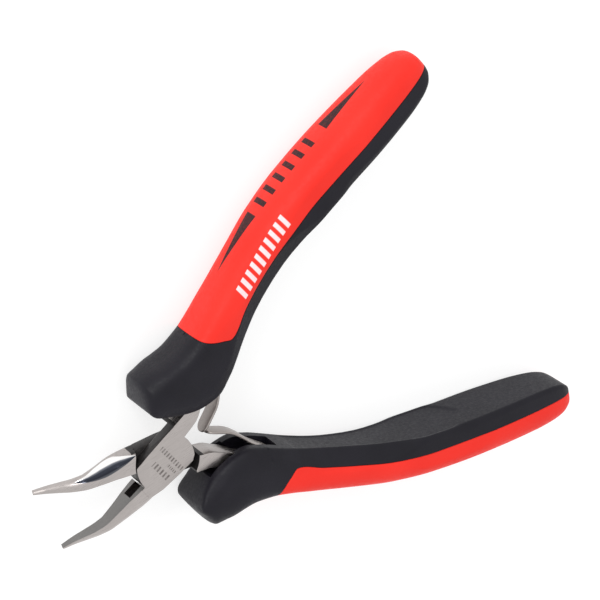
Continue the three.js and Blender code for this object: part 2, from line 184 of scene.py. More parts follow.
# Colours, linear.
RED_DEEP = (0.77, 0.021, 0.012, 1)
RED_LIGHT = (0.84, 0.028, 0.017, 1)
PRINT_BLACK = (0.008, 0.007, 0.009, 1)
PRINT_WHITE = (0.86, 0.7, 0.72, 1)
CORE_DEEP = (0.004, 0.0035, 0.007, 1)
CORE_LIGHT = (0.009, 0.008, 0.0135, 1)
CORE_DUST = (0.018, 0.0165, 0.022, 1)
GROUND_TONE = (0.46, 0.425, 0.41)
GRIP_TONE = (0.22, 0.214, 0.208)
SPRING_TONE = (0.37, 0.335, 0.318)
# Dark steel colours: scale, and painted shade in the joint's cuts and between the levers.
SCALE_SHADE_DEEP = (0.016, 0.015, 0.016, 1)
SCALE_SHADE_LIGHT = (0.05, 0.045, 0.043, 1)
ETCH = (0.12, 0.105, 0.1, 1)
PAPER_TONES = (0.38, 0.4)
PAPER_GLOW = 0.68

# Mesh fineness. The handle's rings: x from, x to and count.
STATIONS = [(NOSE_X, 8, 26), (8.4, 22, 34), (30, 94, 120), (94.3, 100, 26), (100.1, END_X, 14)]
SEAM_TO_X = 30
RING = 720
BACK_POINTS = 60
SHOWN_POINTS = 46
OVER_POINTS = 30
UNDER_POINTS = 12
SEAM_TRIES = 1600
SEAM_STATIONS = 70
FLANK_POINTS = 64
JAW_RINGS = 130
TANG_RINGS = 50
ARC_POINTS = {"heel": 20, "nose": 14, "disc": 96}
SLOPE_STEP = 0.1
SAME_X = 2e-4
WELD = 2e-6
RECESS_REACH = 5


# ---- helpers ----
def smooth(rows):
    """Smooth y(x) through the rows, with no overshoot between them."""
    xs, ys = np.array(rows, float).T
    h = np.diff(xs)
    slope = np.diff(ys) / h
    tangent = np.zeros(len(xs))
    tangent[0], tangent[-1] = slope[0], slope[-1]
    for i in range(1, len(xs) - 1):
        a, b = slope[i - 1], slope[i]
        tangent[i] = 0 if a * b <= 0 else 2 * a * b / (a + b)

    def value(x):
        x = np.clip(np.asarray(x, float), xs[0], xs[-1])
        i = np.clip(np.searchsorted(xs, x, side="right") - 1, 0, len(h) - 1)
        u = (x - xs[i]) / h[i]
        rise = ys[i + 1] - ys[i]
        c2 = 3 * rise - h[i] * (2 * tangent[i] + tangent[i + 1])
        c3 = h[i] * (tangent[i] + tangent[i + 1]) - 2 * rise
        return ys[i] + u * (h[i] * tangent[i] + u * (c2 + u * c3))

    return value


def place(points, side):
    """Points of the closed lever frame in the shared frame, for side 1 (lever a) or -1 (lever b)."""
    p = np.array(points, float)
    p[:, 1] *= side
    return turned(p, OPEN_ANGLE * side)


def turned(p, degrees):
    """Points turned about the pivot and put in the shared frame, in metres."""
    a = math.radians(degrees)
    x = p[:, 0] * math.cos(a) - p[:, 1] * math.sin(a)
    y = p[:, 0] * math.sin(a) + p[:, 1] * math.cos(a)
    return np.stack([x, y, p[:, 2]], 1) * MM + PIVOT


def closed_frame(v, side):
    """A direction, or an offset from the pivot, as the closed lever's own frame sees it."""
    a = math.radians(-OPEN_ANGLE * side)
    x = v[0] * math.cos(a) - v[1] * math.sin(a)
    y = v[0] * math.sin(a) + v[1] * math.cos(a)
    return x, y * side, v[2]


def add_mesh(name, points, faces, uv=None):
    """A mesh object with doubled points welded, optional uv per point, and faces turned outwards."""
    mesh = bpy.data.meshes.new(name)
    mesh.from_pydata([tuple(p) for p in points], [], [tuple(f) for f in faces])
    if uv is not None:
        layer = mesh.uv_layers.new(name="lay")
        loops = np.zeros(len(mesh.loops), np.int32)
        mesh.loops.foreach_get("vertex_index", loops)
        layer.data.foreach_set("uv", np.asarray(uv, np.float32)[loops].ravel())
    bm = bmesh.new()
    bm.from_mesh(mesh)
    bmesh.ops.remove_doubles(bm, verts=bm.verts, dist=WELD)
    bmesh.ops.dissolve_degenerate(bm, edges=bm.edges, dist=WELD / 4)
    bmesh.ops.recalc_face_normals(bm, faces=bm.faces)
    bm.to_mesh(mesh)
    bm.free()
    made = bpy.data.objects.new(name, mesh)
    bpy.context.scene.collection.objects.link(made)
    return made


def loft_faces(rows, count):
    """Quads between rings of the same count, and a face across each end."""
    faces = []
    for r in range(rows - 1):
        for i in range(count):
            j = (i + 1) % count
            faces.append((r * count + i, r * count + j, (r + 1) * count + j, (r + 1) * count + i))
    faces.append(tuple(range(count)))
    faces.append(tuple(range((rows - 1) * count, rows * count)))
    return faces


def loft(name, rings, side, uv=None):
    """A closed skin over rings of the same count, given in the closed lever's frame."""
    rings = np.array(rings, float)
    rows, count = rings.shape[:2]
    return add_mesh(name, place(rings.reshape(-1, 3), side), loft_faces(rows, count), uv)


def prism(name, outline, low, high, side):
    """A plan outline raised between two heights."""
    n = len(outline)
    points = [(x, y, low) for x, y in outline] + [(x, y, high) for x, y in outline]
    faces = [tuple(range(n)), tuple(range(n, 2 * n))]
    faces += [(i, (i + 1) % n, n + (i + 1) % n, n + i) for i in range(n)]
    return add_mesh(name, place(points, side), faces)


def rounded(outline, radius, steps=5):
    """The outline with each corner turned in an arc-like curve."""
    points = [np.array(p, float) for p in outline]
    out = []
    for i, p in enumerate(points):
        a, b = points[i - 1], points[(i + 1) % len(points)]
        la = np.linalg.norm(a - p)
        lb = np.linalg.norm(b - p)
        r = min(radius, 0.45 * la, 0.45 * lb)
        start = p + (a - p) / la * r
        end = p + (b - p) / lb * r
        for k in range(steps + 1):
            t = k / steps
            out.append(tuple((1 - t) ** 2 * start + 2 * t * (1 - t) * p + t * t * end))
    return out


def combine(target, tool, operation):
    """Boolean in place; the tool's material comes along on the faces that it cuts."""
    step = target.modifiers.new("cut", "BOOLEAN")
    step.operation = operation
    step.object = tool
    step.solver = "EXACT"
    step.material_mode = "TRANSFER"
    settle(target)
    bpy.data.objects.remove(tool)


def settle(target):
    """Applies the modifiers."""
    graph = bpy.context.evaluated_depsgraph_get()
    made = bpy.data.meshes.new_from_object(target.evaluated_get(graph))
    target.modifiers.clear()
    old = target.data
    target.data = made
    made.name = old.name + ".done"
    bpy.data.meshes.remove(old)


def shade(target, degrees):
    """Smooth faces, with edges sharper than the angle kept crisp."""
    bm = bmesh.new()
    bm.from_mesh(target.data)
    limit = math.radians(degrees)
    for f in bm.faces:
        f.smooth = True
    for e in bm.edges:
        e.smooth = len(e.link_faces) == 2 and e.calc_face_angle(0) < limit
    bm.to_mesh(target.data)
    bm.free()


def bevel(target, width, segments=2, degrees=38):
    """Rounds the edges sharper than the angle, width in millimetres."""
    step = target.modifiers.new("edge", "BEVEL")
    step.width = width * MM
    step.segments = segments
    step.limit_method = "ANGLE"
    step.angle_limit = math.radians(degrees)
    step.use_clamp_overlap = True
    step.harden_normals = False
    step.miter_outer = "MITER_ARC"
    settle(target)


# ---- node materials ----
def new_material(name):
    made = bpy.data.materials.new(name)
    made.use_nodes = True
    tree = made.node_tree
    shader = tree.nodes["Principled BSDF"]
    return made, tree, shader


def feed(tree, socket, value):
    """Links another node's output into the socket, or sets a plain value."""
    if isinstance(value, bpy.types.NodeSocket):
        tree.links.new(value, socket)
    else:
        socket.default_value = value


def node(tree, kind, inputs=None, **settings):
    made = tree.nodes.new(kind)
    for key, value in settings.items():
        setattr(made, key, value)
    for key, value in (inputs or {}).items():
        feed(tree, made.inputs[key], value)
    return made


def maths(tree, operation, *values):
    made = node(tree, "ShaderNodeMath", operation=operation)
    for socket, value in zip(made.inputs, values):
        feed(tree, socket, value)
    return made.outputs[0]


def mix(tree, factor, a, b):
    made = node(tree, "ShaderNodeMix", data_type="RGBA")
    for socket, value in ((0, factor), (6, a), (7, b)):
        feed(tree, made.inputs[socket], value)
    return made.outputs[2]


def ramp(tree, value, *stops):
    made = node(tree, "ShaderNodeValToRGB", {"Fac": value})
    elements = made.color_ramp.elements
    elements[0].position, elements[0].color = stops[0][0], stops[0][1]
    elements[1].position, elements[1].color = stops[-1][0], stops[-1][1]
    for at, colour in stops[1:-1]:
        elements.new(at).color = colour
    return made.outputs["Color"]


def remap(tree, value, low, high, from_low=0.0, from_high=1.0):
    made = node(tree, "ShaderNodeMapRange", {"Value": value, "From Min": from_low,
                                             "From Max": from_high, "To Min": low, "To Max": high})
    return made.outputs[0]


def noise(tree, coords, scale, detail, roughness=0.5):
    made = node(tree, "ShaderNodeTexNoise", {"Vector": coords, "Scale": scale, "Detail": detail,
                                             "Roughness": roughness})
    return made.outputs["Fac"]


def stretch(tree, coords, scale, rotation):
    made = node(tree, "ShaderNodeMapping", {"Vector": coords, "Scale": scale,
                                            "Rotation": (0, 0, rotation)})
    return made.outputs[0]


def object_coords(tree):
    return node(tree, "ShaderNodeTexCoord").outputs["Object"]


def lay_coords(tree, layer="lay"):
    """The piece's own lay, along and across, in units of 100 mm, as two values."""
    uv = node(tree, "ShaderNodeUVMap", uv_map=layer).outputs[0]
    split = node(tree, "ShaderNodeSeparateXYZ", {"Vector": uv})
    return split.outputs[0], split.outputs[1]


def raise_surface(tree, shader, height, strength, distance):
    bump = node(tree, "ShaderNodeBump", {"Strength": strength, "Distance": distance,
                                         "Height": height})
    tree.links.new(bump.outputs[0], shader.inputs["Normal"])


def grey(value):
    return (value, value, value, 1)


def within(tree, value, low, high, soft):
    """1 between low and high, falling to 0 over soft on either side."""
    up = remap(tree, value, 0, 1, low - soft, low + soft)
    down = remap(tree, value, 1, 0, high - soft, high + soft)
    return maths(tree, "MULTIPLY", up, down)


def print_masks(tree, along, across):
    """Black print, 1 on the two wedges and the bars between them, and the white band of ticks."""
    line = PRINT_LINE / LAY
    half_soft = PRINT_SOFT / 2
    prints = []
    for tip, base, half in WEDGES:
        share = node(tree, "ShaderNodeMapRange", {"Value": along, "From Min": tip / LAY,
                                                  "From Max": base / LAY}, clamp=False).outputs[0]
        reach = maths(tree, "MULTIPLY", share, half / LAY)
        off = maths(tree, "ABSOLUTE", maths(tree, "SUBTRACT", across, line))
        inside = maths(tree, "SUBTRACT", reach, off)
        body = remap(tree, inside, 0, 1, -PRINT_SOFT / 3, PRINT_SOFT / 3)
        ends = within(tree, along, min(tip, base) / LAY, max(tip, base) / LAY, half_soft)
        prints.append(maths(tree, "MULTIPLY", body, ends))
    lane = within(tree, across, line - BLOCK_HALF / LAY, line + BLOCK_HALF / LAY, half_soft)
    for low, high in BLOCKS:
        body = within(tree, along, low / LAY, high / LAY, half_soft)
        prints.append(maths(tree, "MULTIPLY", body, lane))
    black = prints[0]
    for other in prints[1:]:
        black = maths(tree, "MAXIMUM", black, other)
    tick = maths(tree, "FRACT", maths(tree, "MULTIPLY", along, LAY / TICK_PITCH))
    ticks = within(tree, tick, 0.24, 0.76, 0.04)
    band = maths(tree, "MULTIPLY", within(tree, along, TICKS[0] / LAY, TICKS[1] / LAY, half_soft),
                 within(tree, across, TICKS[2] / LAY, TICKS[3] / LAY, half_soft))
    return black, maths(tree, "MULTIPLY", ticks, band)


def red_skin():
    """Soft matt red rubber with a fine grain and a worn print."""
    made, tree, shader = new_material("red_skin")
    coords = object_coords(tree)
    along, across = lay_coords(tree)
    colour = ramp(tree, noise(tree, coords, 60, 2), (0.3, RED_DEEP), (0.7, RED_LIGHT))
    black, white = print_masks(tree, along, across)
    worn = remap(tree, noise(tree, coords, 2500, 2), 0.9, 1.0, 0.35, 0.6)
    colour = mix(tree, maths(tree, "MULTIPLY", black, worn), colour, PRINT_BLACK)
    colour = mix(tree, maths(tree, "MULTIPLY", white, worn), colour, PRINT_WHITE)
    tree.links.new(colour, shader.inputs["Base Color"])
    grain = noise(tree, coords, 2600, 3, 0.6)
    pores = noise(tree, coords, 900, 2)
    rough = remap(tree, pores, 0.46, 0.6, 0.3, 0.7)
    tree.links.new(rough, shader.inputs["Roughness"])
    height = maths(tree, "ADD", grain, maths(tree, "MULTIPLY", pores, 0.6))
    raise_surface(tree, shader, height, 0.16, 0.00012)
    shader.inputs["Specular IOR Level"].default_value = 0.22
    return made


def black_core():
    """Charcoal moulding with a fine grain and a little dust."""
    made, tree, shader = new_material("black_core")
    coords = object_coords(tree)
    fine = noise(tree, coords, 1500, 3, 0.6)
    colour = ramp(tree, noise(tree, coords, 90, 3), (0.3, CORE_DEEP), (0.7, CORE_LIGHT))
    dust = remap(tree, fine, 0.0, 0.3, 0.55, 0.85)
    colour = mix(tree, dust, colour, CORE_DUST)
    tree.links.new(colour, shader.inputs["Base Color"])
    tree.links.new(remap(tree, fine, 0.42, 0.6, 0.3, 0.7), shader.inputs["Roughness"])
    raise_surface(tree, shader, noise(tree, coords, 2200, 3, 0.65), 0.3, 0.00012)
    shader.inputs["Specular IOR Level"].default_value = 0.24
    return made


def hollow_painted_reflection(tree, coords, colour, rough):
    """Colour and roughness with the jaw's polished hollow laid over them; the hollow's colour is a
    painted reflection, a white highlight band over dark bands that stand for the reflected handle.
    """
    x, across = lay_coords(tree)
    wave = remap(tree, noise(tree, coords, 260, 2), -0.25, 0.25, 0.3, 0.7)
    spot = maths(tree, "ADD", maths(tree, "MULTIPLY", across, HOLLOW_UNIT / 2), 0.5)
    bend = maths(tree, "ADD", spot, maths(tree, "MULTIPLY", wave, 0.12))
    # Painted reflection: a white highlight band, then dark bands for the reflected handle.
    painted_reflection = ramp(tree, bend, (0.03, (0.95, 0.94, 0.93, 1)), (0.2, (0.9, 0.88, 0.87, 1)),
                  (0.27, (0.2, 0.21, 0.24, 1)), (0.42, (0.045, 0.05, 0.065, 1)),
                  (0.8, (0.028, 0.03, 0.04, 1)), (0.93, (0.1, 0.105, 0.12, 1)))
    inside = within(tree, spot, 0.0, 1.0, 0.02)
    reach = within(tree, x, SCOOP_X[0] / LAY, SCOOP_X[1] / LAY, 0.0005)
    inside = maths(tree, "MULTIPLY", inside, reach)
    colour = mix(tree, inside, colour, painted_reflection)
    return colour, maths(tree, "SUBTRACT", rough, maths(tree, "MULTIPLY", inside, 0.15))


def etched_rows(tree, coords, colour):
    """Colour with plain rows of short etched ticks on the joint."""
    x, y = lay_coords(tree, "plan")
    marks = None
    for x_mid, half, y_low, y_high, pitch in ETCHED:
        tick = maths(tree, "FRACT", maths(tree, "MULTIPLY", y, LAY / pitch))
        row = maths(tree, "MULTIPLY", within(tree, tick, 0.2, 0.68, 0.06),
                    within(tree, x, (x_mid - half) / LAY, (x_mid + half) / LAY, PRINT_SOFT))
        row = maths(tree, "MULTIPLY", row, within(tree, y, y_low / LAY, y_high / LAY, PRINT_SOFT))
        marks = row if marks is None else maths(tree, "MAXIMUM", marks, row)
    worn = remap(tree, noise(tree, coords, 1800, 2), 0.45, 0.85, 0.35, 0.6)
    return mix(tree, maths(tree, "MULTIPLY", marks, worn), colour, ETCH)


def steel(name, tone, rough, brush, turn, hollow=False, marked=False):
    """Satin steel with fine grinding lines, a polished hollow on the jaw with a painted reflection,
    and etched rows.
    """
    made, tree, shader = new_material(name)
    coords = object_coords(tree)
    lines = noise(tree, stretch(tree, coords, brush, turn), 1.0, 4, 0.6)
    broad = noise(tree, coords, 220, 3)
    dark = tuple(0.87 * c for c in tone) + (1,)
    light = tuple(min(1.05 * c, 1) for c in tone) + (1,)
    colour = ramp(tree, lines, (0.3, dark), (0.65, light))
    colour = mix(tree, remap(tree, broad, 0, 0.25, 0.35, 0.75), colour, dark)
    rough_value = maths(tree, "ADD", remap(tree, lines, rough - 0.05, rough + 0.07, 0.3, 0.7),
                        remap(tree, broad, -0.02, 0.04, 0.3, 0.7))
    # The hollow lays a painted reflection and highlight over the jaw's flank.
    if hollow:
        colour, rough_value = hollow_painted_reflection(tree, coords, colour, rough_value)
    if marked:
        colour = etched_rows(tree, coords, colour)
    tree.links.new(colour, shader.inputs["Base Color"])
    shader.inputs["Metallic"].default_value = 1.0
    tree.links.new(rough_value, shader.inputs["Roughness"])
    raise_surface(tree, shader, lines, 0.1, 0.00005)
    return made


def scale_and_shade_steel():
    """Unground steel of the joint's side walls, sliding faces, recess and throat, dark partly with
    scale and oil and partly as painted shade of the cuts and the gaps between the levers.
    """
    made, tree, shader = new_material("scale_and_shade_steel")
    spots = noise(tree, object_coords(tree), 1100, 4, 0.6)
    colour = ramp(tree, spots, (0.3, SCALE_SHADE_DEEP), (0.75, SCALE_SHADE_LIGHT))
    tree.links.new(colour, shader.inputs["Base Color"])
    tree.links.new(remap(tree, spots, 0.34, 0.55, 0.3, 0.7), shader.inputs["Roughness"])
    shader.inputs["Metallic"].default_value = 0.6
    raise_surface(tree, shader, spots, 0.2, 0.00006)
    return made


RED = red_skin()
BLACK = black_core()
GRIND = {"rough": 0.3, "brush": (400, 5200, 1800), "turn": 0.3}
STEEL = steel("ground_steel", GROUND_TONE, **GRIND, hollow=True)
MARKED = steel("marked_steel", GROUND_TONE, **GRIND, hollow=True, marked=True)
GRIP = steel("grip_steel", GRIP_TONE, rough=0.42, brush=(2600, 500, 2600), turn=0.3)
SPRING = steel("spring_steel", SPRING_TONE, rough=0.36, brush=(500, 2600, 900), turn=0.9)
SCALE_AND_SHADE = scale_and_shade_steel()

# ---- handle mouldings ----
inner_face = smooth(INNER)
back_face = smooth(BACK)
half_thickness = smooth(HALF_THICKNESS)
chamfer = smooth(CHAMFER)
skin_edge = smooth(SKIN_EDGE)
turn_at = smooth(TURN_AT)
turn_power = smooth(TURN_POWER)
crease = smooth(CREASE)


def chamfer_at(x):
    """Size of the inner face's edge chamfer, held to a share of the section."""
    deep = float(back_face(x)) - float(inner_face(x))
    most = min(float(half_thickness(x)) * CHAMFER_MOST["of_half"], deep * CHAMFER_MOST["of_depth"])
    return min(float(chamfer(x)), most)


def section(x):
    """Half of the section at x as a dense line of (y, z), from the middle of the inner face over
    the upper side to the middle of the back, and the length along it."""
    low, high, half = float(inner_face(x)), float(back_face(x)), float(half_thickness(x))
    cut = chamfer_at(x)
    middle = low + float(turn_at(x)) * (high - low)
    power = float(turn_power(x))
    t = np.linspace(math.pi / 2, 0, BACK_POINTS)
    y = middle + (high - middle) * np.clip(np.cos(t), 0, 1) ** power
    z = half * np.clip(np.sin(t), 0, 1) ** power
    corner = [[low, 0], [low, flat_half(x)], [low + cut, half - CHAMFER_CREST * cut]]
    side = np.concatenate([corner, np.stack([y, z], 1)])
    side[:, 1] = np.minimum(side[:, 1], REST_HALF)
    ring = np.concatenate([side, (side * [1, -1])[-2:0:-1]])
    ring = np.concatenate([ring, ring[:1]])
    length = run_length(ring)
    even = np.linspace(0, length[-1], RING, endpoint=False)
    dense = np.stack([np.interp(even, length, ring[:, k]) for k in (0, 1)], 1)
    line = softened(dense, length[-1], float(crease(x)))[: RING // 2 + 1]
    line[0, 1] = line[-1, 1] = 0
    return line, run_length(line)


def run_length(line):
    """Length along a line of points at each of them."""
    return np.concatenate([[0], np.cumsum(np.linalg.norm(np.diff(line, axis=0), axis=1))])


def softened(ring, length, width):
    """A closed ring of even points with its corners blurred over the width."""
    blur = np.fft.fftfreq(RING, length / RING) * 2 * math.pi * width
    weight = np.exp(-blur ** 2 / 2)[:, None]
    return np.real(np.fft.ifft(np.fft.fft(ring, axis=0) * weight, axis=0))


def flat_half(x):
    """Half width of the flat inner face."""
    return float(half_thickness(x)) - CHAMFER_HEIGHT_PART * chamfer_at(x)


def panel(x, z, flat):
    """1 in the sunk panel of the inner face, which ends in a slanting curve under the palm swell."""
    end = PANEL_X[1] - PANEL_SLANT * (z - PANEL_SLANT_Z) ** 2 * (z > PANEL_SLANT_Z)
    along = np.clip((x - PANEL_X[0]) / PANEL_WALL["start"], 0, 1)
    along = along * np.clip((end - x) / PANEL_WALL["end"], 0, 1)
    across = np.clip((flat - PANEL_RIM - np.abs(z)) / PANEL_WALL["side"], 0, 1)
    both = along * across
    return both * both * (3 - 2 * both)


def seam_at(x, line, reach):
    """Length along the half section where the skin's edge crosses it."""
    edge = float(skin_edge(x))
    if x < SKIN_EDGE[0][0] or edge >= line[-1, 0]:
        return reach[-1]
    return float(np.interp(edge, np.maximum.accumulate(line[:, 0]), reach))


def handle_stations():
    """Where along x the handle's rings are: closer together at its ends and where the skin's front
    edge sweeps across it, and the x where the skin starts."""
    base = np.concatenate([np.linspace(*row) for row in STATIONS])
    seam = []
    for x in np.linspace(SKIN_EDGE[0][0], SEAM_TO_X, SEAM_TRIES):
        line, reach = section(x)
        s = seam_at(x, line, reach)
        seam.append([x, np.interp(s, reach, line[:, 0]), np.interp(s, reach, line[:, 1]),
                     reach[-1] - s])
    seam = np.array(seam)
    first = int(np.argmax(seam[:, 3] > 0))
    walk = seam[first - 1:]
    length = run_length(walk[:, :3])
    even = np.interp(np.linspace(0, length[-1], SEAM_STATIONS), length, walk[:, 0])
    return np.unique(np.round(np.concatenate([base, even]), 4)), walk[0, 0]


def sample(line, reach, normal, s, inset=0.0):
    """Points at the lengths s along a half section, set in from it."""
    y = np.interp(s, reach, line[:, 0]) - np.interp(s, reach, normal[:, 0]) * inset
    z = np.interp(s, reach, line[:, 1]) - np.interp(s, reach, normal[:, 1]) * inset
    return np.stack([y, z], 1)


def ease(count, power):
    """Shares from 0 to 1, closer together near 1."""
    return 1 - (1 - np.linspace(0, 1, count)) ** power


def outward(line):
    """Unit normals of a half section, pointing out of it."""
    tangent = np.gradient(line, axis=0)
    normal = np.stack([-tangent[:, 1], tangent[:, 0]], 1)
    normal /= np.linalg.norm(normal, axis=1)[:, None]
    normal[0], normal[-1] = (-1, 0), (1, 0)
    return normal


def core_ring(x, seam, inset):
    """The core's ring at x with its lay, and the way out for the points that show."""
    line, reach = section(x)
    normal = outward(line)
    shown = seam * ease(SHOWN_POINTS, 1.25)
    under = seam + (reach[-1] - seam) * np.linspace(0, 1, UNDER_POINTS)
    top = sample(line, reach, normal, shown)
    sunk = PANEL_DEPTH * panel(x, top[:, 1], flat_half(x))
    top[:, 0] += sunk * (shown < reach[-1] / 2)
    half = np.concatenate([top, sample(line, reach, normal, under, inset)])
    lay = np.concatenate([shown, under])
    dirs = np.concatenate([np.stack([np.interp(shown, reach, normal[:, k]) for k in (0, 1)], 1),
                           np.zeros((UNDER_POINTS, 2))])
    ring = np.concatenate([half, mirrored(half)[1:-1]])
    dirs = np.concatenate([dirs, mirrored(dirs)[1:-1]])
    uv = [(x / LAY, v / LAY) for v in np.concatenate([lay, -lay[-2:0:-1]])]
    return with_x(x, ring), uv, with_x(0, dirs)


def skin_ring(x, seam, depth, side):
    """The skin's ring at x, outer side then inner side, with its lay and the way out."""
    line, reach = section(x)
    normal = outward(line)
    over = seam + (reach[-1] - seam) * (1 - ease(OVER_POINTS, 1.6)[::-1])
    top = sample(line, reach, normal, over)
    low = sample(line, reach, normal, over, depth)
    outer = np.concatenate([top, mirrored(top)[1:]])
    inward = np.concatenate([low * [1, -1], low[-2::-1]])
    lay = reach[-1] - over
    lay = np.concatenate([lay, -lay[-2::-1]])
    lay = np.concatenate([lay, lay[::-1]])
    uv = [(x / LAY, side * v / LAY) for v in lay]
    dirs = np.stack([np.interp(over, reach, normal[:, k]) for k in (0, 1)], 1)
    dirs = np.concatenate([dirs, mirrored(dirs)[1:]])
    dirs = np.concatenate([dirs, np.zeros_like(dirs)])
    return with_x(x, np.concatenate([outer, inward])), uv, with_x(0, dirs)


def mirrored(half):
    """The half section's other side, from the middle of the back to the middle of the front."""
    return (half * [1, -1])[::-1]


def with_x(x, ring):
    """The (y, z) points as (x, y, z) points."""
    return np.column_stack([np.full(len(ring), x), ring])


def rolled(rings, dirs, seam_tree):
    """The rings with the edges along the seam rolled off by a quarter round."""
    flat, out = np.array(rings).reshape(-1, 3), np.array(dirs).reshape(-1, 3)
    for i, p in enumerate(flat):
        if not out[i].any():
            continue
        gap = seam_tree.find(p)[2]
        if gap < SEAM_ROLL:
            drop = SEAM_ROLL - math.sqrt(max(SEAM_ROLL ** 2 - (SEAM_ROLL - gap) ** 2, 0))
            flat[i] = p - out[i] * drop
    return flat.reshape(np.array(rings).shape)


def handle_meshes(side, suffix):
    """The charcoal core and the red skin, which share one seam line."""
    stations, front = handle_stations()
    cores, skins, seam_line = [], [], []
    for x in stations:
        line, reach = section(x)
        seam = seam_at(x, line, reach)
        open_skin = x > front and seam < reach[-1] - 1e-6
        depth = min(SKIN_DEPTH, SKIN_MOST["of_half"] * float(half_thickness(x)),
                    SKIN_MOST["of_depth"] * (line[-1, 0] - line[0, 0]))
        cores.append(core_ring(x, seam, depth + SEAM_GAP if open_skin else 0.0))
        if open_skin or abs(x - front) < SAME_X:
            skins.append(skin_ring(x, seam, depth, side))
            y = np.interp(seam, reach, line[:, 0])
            z = np.interp(seam, reach, line[:, 1])
            seam_line += [(x, y, z), (x, y, -z)]
    seam_tree = KDTree(len(seam_line))
    for i, p in enumerate(seam_line):
        seam_tree.insert(p, i)
    seam_tree.balance()
    made = []
    for name, parts in (("core", cores), ("skin", skins)):
        rings, uv, dirs = zip(*parts)
        made.append(loft(f"{name}_{suffix}", rolled(rings, dirs, seam_tree), side,
                         uv=np.array(uv).reshape(-1, 2)))
    return made


def give(target, *materials):
    target.data.materials.clear()
    for m in materials:
        target.data.materials.append(m)


# ---- steel levers ----
jaw_axis = smooth(JAW_AXIS)
jaw_height = smooth(JAW_HALF_HEIGHT)
jaw_width = smooth(JAW_HALF_WIDTH)
jaw_round = smooth(JAW_ROUND)


def slope_at(curve, x):
    return float(curve(x + SLOPE_STEP) - curve(x - SLOPE_STEP)) / (2 * SLOPE_STEP)


def hollow_place(x, degrees, side):
    """Place across the hollow ground flank, -1 to 1 inside it, and the hollow's fullness at x."""
    middle, half = (SCOOP_X[0] + SCOOP_X[1]) / 2, (SCOOP_X[1] - SCOOP_X[0]) / 2
    span = max(1 - ((x - middle) / half) ** 2, 0)
    low, high = SCOOP_ANGLES[side]
    centre = (low + high) / 2
    reach = max((high - low) / 2 * span, 0.5)
    return np.clip((degrees - centre) / reach, -OFF_HOLLOW, OFF_HOLLOW), span


def jaw_rings(side):
    """Half-round rings with the flat grip face, and their lay along and across the hollow."""
    rings, uv = [], []
    t = np.linspace(-math.pi / 2, math.pi / 2, FLANK_POINTS + 1)
    for x in np.linspace(JAW_AXIS[-1][0], JAW_AXIS[0][0], JAW_RINGS):
        slope = slope_at(jaw_axis, x)
        length = math.hypot(1, slope)
        power = float(jaw_round(x))
        place_across, span = hollow_place(x, np.degrees(t), side)
        scoop = 1 - SCOOP_DEPTH * span * np.clip(1 - place_across ** 2, 0, 1)
        lean = 1 - FLANK_LEAN * np.sin(t)
        out = float(jaw_width(x)) * np.clip(np.cos(t), 0, 1) ** power * lean
        up = float(jaw_height(x)) * np.sign(np.sin(t)) * np.abs(np.sin(t)) ** power
        ring = np.stack([x - up * slope / length, -np.maximum(out * scoop, GRIP_FACE + GRIP_EDGE),
                         float(jaw_axis(x)) + up / length], 1)
        top, bottom = ring[-1].copy(), ring[0].copy()
        top[1] = bottom[1] = -GRIP_FACE
        rings.append(np.concatenate([ring, [top, bottom]]))
        uv += [(x / LAY, q / HOLLOW_UNIT) for q in [*place_across, OFF_HOLLOW, OFF_HOLLOW]]
    return rings, uv


def arc(radius, start, end, count):
    return [(radius * math.cos(a), radius * math.sin(a)) for a in np.linspace(start, end, count)]


def plate_outline():
    """Joint half in plan, with a round nose and a round heel."""
    nose = math.asin(PLATE_HALF_WIDTH / NOSE_RADIUS)
    points = [(-NOSE_RADIUS * math.cos(nose), PLATE_HALF_WIDTH), SHOULDER,
              (HEEL_RADIUS * math.cos(HEEL_ARC[0]) + HEEL_REACH, HEEL_RADIUS * math.sin(HEEL_ARC[0]))]
    points += arc(HEEL_RADIUS, *HEEL_ARC, ARC_POINTS["heel"])
    points += [*BELLY, (-NOSE_RADIUS, -GRIP_FACE)]
    points += arc(NOSE_RADIUS, math.pi, math.pi - nose, ARC_POINTS["nose"])[:-1]
    return points


def tang_rings():
    """Square-sided rings of the neck and the near end of the tang."""
    line, width, height = smooth(TANG_LINE), smooth(TANG_HALF_WIDTH), smooth(TANG_HALF_HEIGHT)
    rings = []
    for x in np.linspace(TANG_LINE[0][0], TANG_SHOWN_X, TANG_RINGS):
        half = float(width(x)) * math.hypot(1, slope_at(line, x))
        tall = float(height(x))
        y = float(line(x))
        rings.append([[x, y - half, -tall], [x, y + half, -tall], [x, y + half, tall],
                      [x, y - half, tall]])
    return rings


def disc(radius):
    count = ARC_POINTS["disc"]
    return arc(radius, 0, 2 * math.pi * (1 - 1 / count), count)


def off_hollow(target):
    """Marks all of a tool body as off the hollow ground flank."""
    layer = target.data.uv_layers.new(name="lay")
    away = np.full(2 * len(target.data.loops), OFF_HOLLOW / HOLLOW_UNIT, np.float32)
    layer.data.foreach_set("uv", away)


def joint_half(side, reach, gap):
    """Lowest and highest z of the half that a lever keeps, reach beyond the middle."""
    return (gap, reach) if side > 0 else (-reach, -gap)


def cut_or_add(body, tool, material, operation, edge=0):
    """Boolean with a tool body whose own edges are rounded first where an edge is given."""
    off_hollow(tool)
    give(tool, material, SCALE_AND_SHADE)
    if edge:
        bevel(tool, edge)
    combine(body, tool, operation)


